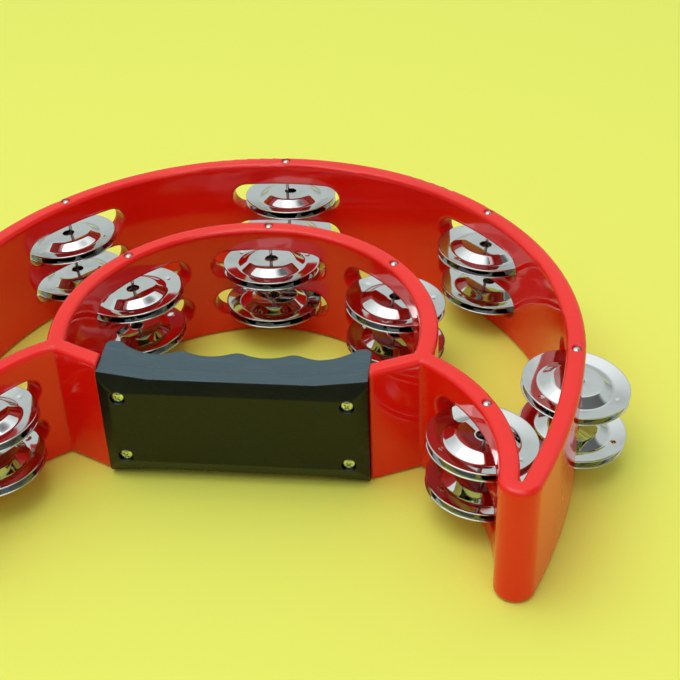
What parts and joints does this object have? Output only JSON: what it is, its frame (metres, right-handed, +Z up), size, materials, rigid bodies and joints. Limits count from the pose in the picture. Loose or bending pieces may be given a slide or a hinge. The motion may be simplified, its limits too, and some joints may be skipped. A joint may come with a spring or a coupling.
{
  "type": "half-moon tambourine",
  "caption": "Half-moon tambourine: moulded crescent frame with an inner arch, loose cupped jingle pairs on pins in slots, and a finger-grooved handle clamped by screws.",
  "frame": {"origin": "middle of the outline, on the plane the frame stands on", "axes": "+X along the handle to the player's right, +Y to the round back, +Z up through the pins"},
  "size_m": [0.2946, 0.2341, 0.0521],
  "materials": {
    "frame": "polished red moulding",
    "handle": "satin black",
    "jingle": "bright nickel plate",
    "pin": "bright drawn",
    "screw": "yellow plated"
  },
  "bodies": {
    "frame": {"frame": "frame", "handle_front": "handle", "handle_rear": "handle", "screws": "screw", "pin_01": "pin", "pin_02": "pin", "pin_03": "pin", "pin_04": "pin", "pin_05": "pin", "pin_06": "pin", "pin_07": "pin", "pin_08": "pin", "pin_09": "pin", "pin_10": "pin"},
    "jingle_01_lower_bottom": {"jingle_01_lower_bottom": "jingle"},
    "jingle_01_lower_top": {"jingle_01_lower_top": "jingle"},
    "jingle_01_upper_bottom": {"jingle_01_upper_bottom": "jingle"},
    "jingle_01_upper_top": {"jingle_01_upper_top": "jingle"},
    "jingle_02_lower_bottom": {"jingle_02_lower_bottom": "jingle"},
    "jingle_02_lower_top": {"jingle_02_lower_top": "jingle"},
    "jingle_02_upper_bottom": {"jingle_02_upper_bottom": "jingle"},
    "jingle_02_upper_top": {"jingle_02_upper_top": "jingle"},
    "jingle_03_lower_bottom": {"jingle_03_lower_bottom": "jingle"},
    "jingle_03_lower_top": {"jingle_03_lower_top": "jingle"},
    "jingle_03_upper_bottom": {"jingle_03_upper_bottom": "jingle"},
    "jingle_03_upper_top": {"jingle_03_upper_top": "jingle"},
    "jingle_04_lower_bottom": {"jingle_04_lower_bottom": "jingle"},
    "jingle_04_lower_top": {"jingle_04_lower_top": "jingle"},
    "jingle_04_upper_bottom": {"jingle_04_upper_bottom": "jingle"},
    "jingle_04_upper_top": {"jingle_04_upper_top": "jingle"},
    "jingle_05_lower_bottom": {"jingle_05_lower_bottom": "jingle"},
    "jingle_05_lower_top": {"jingle_05_lower_top": "jingle"},
    "jingle_05_upper_bottom": {"jingle_05_upper_bottom": "jingle"},
    "jingle_05_upper_top": {"jingle_05_upper_top": "jingle"},
    "jingle_06_lower_bottom": {"jingle_06_lower_bottom": "jingle"},
    "jingle_06_lower_top": {"jingle_06_lower_top": "jingle"},
    "jingle_06_upper_bottom": {"jingle_06_upper_bottom": "jingle"},
    "jingle_06_upper_top": {"jingle_06_upper_top": "jingle"},
    "jingle_07_lower_bottom": {"jingle_07_lower_bottom": "jingle"},
    "jingle_07_lower_top": {"jingle_07_lower_top": "jingle"},
    "jingle_07_upper_bottom": {"jingle_07_upper_bottom": "jingle"},
    "jingle_07_upper_top": {"jingle_07_upper_top": "jingle"},
    "jingle_08_lower_bottom": {"jingle_08_lower_bottom": "jingle"},
    "jingle_08_lower_top": {"jingle_08_lower_top": "jingle"},
    "jingle_08_upper_bottom": {"jingle_08_upper_bottom": "jingle"},
    "jingle_08_upper_top": {"jingle_08_upper_top": "jingle"},
    "jingle_09_lower_bottom": {"jingle_09_lower_bottom": "jingle"},
    "jingle_09_lower_top": {"jingle_09_lower_top": "jingle"},
    "jingle_09_upper_bottom": {"jingle_09_upper_bottom": "jingle"},
    "jingle_09_upper_top": {"jingle_09_upper_top": "jingle"},
    "jingle_10_lower_bottom": {"jingle_10_lower_bottom": "jingle"},
    "jingle_10_lower_top": {"jingle_10_lower_top": "jingle"},
    "jingle_10_upper_bottom": {"jingle_10_upper_bottom": "jingle"},
    "jingle_10_upper_top": {"jingle_10_upper_top": "jingle"}
  },
  "joints": [
    {"name": "spin_01_lower_bottom", "type": "hinge", "parent": "frame", "child": "jingle_01_lower_bottom", "pos_m": [-0.12641, -0.03827, 0.01391], "axis": [-0.1043, -0.0064, 0.9945], "continuous": true},
    {"name": "slide_01_lower_top", "type": "slide", "parent": "frame", "child": "jingle_01_lower_top", "axis": [0, 0, 1], "range_m": [0, 0.0049]},
    {"name": "spin_01_upper_bottom", "type": "hinge", "parent": "frame", "child": "jingle_01_upper_bottom", "pos_m": [-0.12668, -0.03622, 0.03311], "axis": [-0.1043, -0.0064, 0.9945], "continuous": true},
    {"name": "slide_01_upper_top", "type": "slide", "parent": "frame", "child": "jingle_01_upper_top", "axis": [0, 0, 1], "range_m": [0, 0.0049]},
    {"name": "spin_02_lower_bottom", "type": "hinge", "parent": "frame", "child": "jingle_02_lower_bottom", "pos_m": [-0.09103, 0.05582, 0.01391], "axis": [-0.0761, 0.0716, 0.9945], "continuous": true},
    {"name": "slide_02_lower_top", "type": "slide", "parent": "frame", "child": "jingle_02_lower_top", "axis": [0, 0, 1], "range_m": [0, 0.0049]},
    {"name": "spin_02_upper_bottom", "type": "hinge", "parent": "frame", "child": "jingle_02_upper_bottom", "pos_m": [-0.09242, 0.05576, 0.03311], "axis": [-0.0761, 0.0716, 0.9945], "continuous": true},
    {"name": "slide_02_upper_top", "type": "slide", "parent": "frame", "child": "jingle_02_upper_top", "axis": [0, 0, 1], "range_m": [0, 0.0049]},
    {"name": "spin_03_lower_bottom", "type": "hinge", "parent": "frame", "child": "jingle_03_lower_bottom", "pos_m": [-0.0013, 0.09655, 0.01391], "axis": [0, 0.1045, 0.9945], "continuous": true},
    {"name": "slide_03_lower_top", "type": "slide", "parent": "frame", "child": "jingle_03_lower_top", "axis": [0, 0, 1], "range_m": [0, 0.0049]},
    {"name": "spin_03_upper_bottom", "type": "hinge", "parent": "frame", "child": "jingle_03_upper_bottom", "pos_m": [0.0013, 0.09655, 0.03311], "axis": [0, 0.1045, 0.9945], "continuous": true},
    {"name": "slide_03_upper_top", "type": "slide", "parent": "frame", "child": "jingle_03_upper_top", "axis": [0, 0, 1], "range_m": [0, 0.0049]},
    {"name": "spin_04_lower_bottom", "type": "hinge", "parent": "frame", "child": "jingle_04_lower_bottom", "pos_m": [0.0929, 0.05623, 0.01391], "axis": [0.0761, 0.0716, 0.9945], "continuous": true},
    {"name": "slide_04_lower_top", "type": "slide", "parent": "frame", "child": "jingle_04_lower_top", "axis": [0, 0, 1], "range_m": [0, 0.0049]},
    {"name": "spin_04_upper_bottom", "type": "hinge", "parent": "frame", "child": "jingle_04_upper_bottom", "pos_m": [0.09094, 0.05589, 0.03311], "axis": [0.0761, 0.0716, 0.9945], "continuous": true},
    {"name": "slide_04_upper_top", "type": "slide", "parent": "frame", "child": "jingle_04_upper_top", "axis": [0, 0, 1], "range_m": [0, 0.0049]},
    {"name": "spin_05_lower_bottom", "type": "hinge", "parent": "frame", "child": "jingle_05_lower_bottom", "pos_m": [0.12641, -0.03827, 0.01391], "axis": [0.1043, -0.0064, 0.9945], "continuous": true},
    {"name": "slide_05_lower_top", "type": "slide", "parent": "frame", "child": "jingle_05_lower_top", "axis": [0, 0, 1], "range_m": [0, 0.0049]},
    {"name": "spin_05_upper_bottom", "type": "hinge", "parent": "frame", "child": "jingle_05_upper_bottom", "pos_m": [0.12668, -0.03622, 0.03311], "axis": [0.1043, -0.0064, 0.9945], "continuous": true},
    {"name": "slide_05_upper_top", "type": "slide", "parent": "frame", "child": "jingle_05_upper_top", "axis": [0, 0, 1], "range_m": [0, 0.0049]},
    {"name": "spin_06_lower_bottom", "type": "hinge", "parent": "frame", "child": "jingle_06_lower_bottom", "pos_m": [-0.05474, 0.01461, 0.01391], "axis": [-0.0804, 0.0668, 0.9945], "continuous": true},
    {"name": "slide_06_lower_top", "type": "slide", "parent": "frame", "child": "jingle_06_lower_top", "axis": [0, 0, 1], "range_m": [0, 0.0049]},
    {"name": "spin_06_upper_bottom", "type": "hinge", "parent": "frame", "child": "jingle_06_upper_bottom", "pos_m": [-0.05418, 0.01468, 0.03311], "axis": [-0.0804, 0.0668, 0.9945], "continuous": true},
    {"name": "slide_06_upper_top", "type": "slide", "parent": "frame", "child": "jingle_06_upper_top", "axis": [0, 0, 1], "range_m": [0, 0.0049]},
    {"name": "spin_07_lower_bottom", "type": "hinge", "parent": "frame", "child": "jingle_07_lower_bottom", "pos_m": [0.00034, 0.04029, 0.01391], "axis": [0, 0.1045, 0.9945], "continuous": true},
    {"name": "slide_07_lower_top", "type": "slide", "parent": "frame", "child": "jingle_07_lower_top", "axis": [0, 0, 1], "range_m": [0, 0.0049]},
    {"name": "spin_07_upper_bottom", "type": "hinge", "parent": "frame", "child": "jingle_07_upper_bottom", "pos_m": [0.00034, 0.04029, 0.03311], "axis": [0, 0.1045, 0.9945], "continuous": true},
    {"name": "slide_07_upper_top", "type": "slide", "parent": "frame", "child": "jingle_07_upper_top", "axis": [0, 0, 1], "range_m": [0, 0.0049]},
    {"name": "spin_08_lower_bottom", "type": "hinge", "parent": "frame", "child": "jingle_08_lower_bottom", "pos_m": [0.05507, 0.01468, 0.01391], "axis": [0.0804, 0.0668, 0.9945], "continuous": true},
    {"name": "slide_08_lower_top", "type": "slide", "parent": "frame", "child": "jingle_08_lower_top", "axis": [0, 0, 1], "range_m": [0, 0.0049]},
    {"name": "spin_08_upper_bottom", "type": "hinge", "parent": "frame", "child": "jingle_08_upper_bottom", "pos_m": [0.05507, 0.01468, 0.03311], "axis": [0.0804, 0.0668, 0.9945], "continuous": true},
    {"name": "slide_08_upper_top", "type": "slide", "parent": "frame", "child": "jingle_08_upper_top", "axis": [0, 0, 1], "range_m": [0, 0.0049]},
    {"name": "spin_09_lower_bottom", "type": "hinge", "parent": "frame", "child": "jingle_09_lower_bottom", "pos_m": [-0.09231, -0.07146, 0.01391], "axis": [-0.0925, 0.0488, 0.9945], "continuous": true},
    {"name": "slide_09_lower_top", "type": "slide", "parent": "frame", "child": "jingle_09_lower_top", "axis": [0, 0, 1], "range_m": [0, 0.0049]},
    {"name": "spin_09_upper_bottom", "type": "hinge", "parent": "frame", "child": "jingle_09_upper_bottom", "pos_m": [-0.09231, -0.07016, 0.03311], "axis": [-0.0925, 0.0488, 0.9945], "continuous": true},
    {"name": "slide_09_upper_top", "type": "slide", "parent": "frame", "child": "jingle_09_upper_top", "axis": [0, 0, 1], "range_m": [0, 0.0049]},
    {"name": "spin_10_lower_bottom", "type": "hinge", "parent": "frame", "child": "jingle_10_lower_bottom", "pos_m": [0.09231, -0.07016, 0.01391], "axis": [0.0925, 0.0488, 0.9945], "continuous": true},
    {"name": "slide_10_lower_top", "type": "slide", "parent": "frame", "child": "jingle_10_lower_top", "axis": [0, 0, 1], "range_m": [0, 0.0049]},
    {"name": "spin_10_upper_bottom", "type": "hinge", "parent": "frame", "child": "jingle_10_upper_bottom", "pos_m": [0.09231, -0.07016, 0.03311], "axis": [0.0925, 0.0488, 0.9945], "continuous": true},
    {"name": "slide_10_upper_top", "type": "slide", "parent": "frame", "child": "jingle_10_upper_top", "axis": [0, 0, 1], "range_m": [0, 0.0049]}
  ]
}
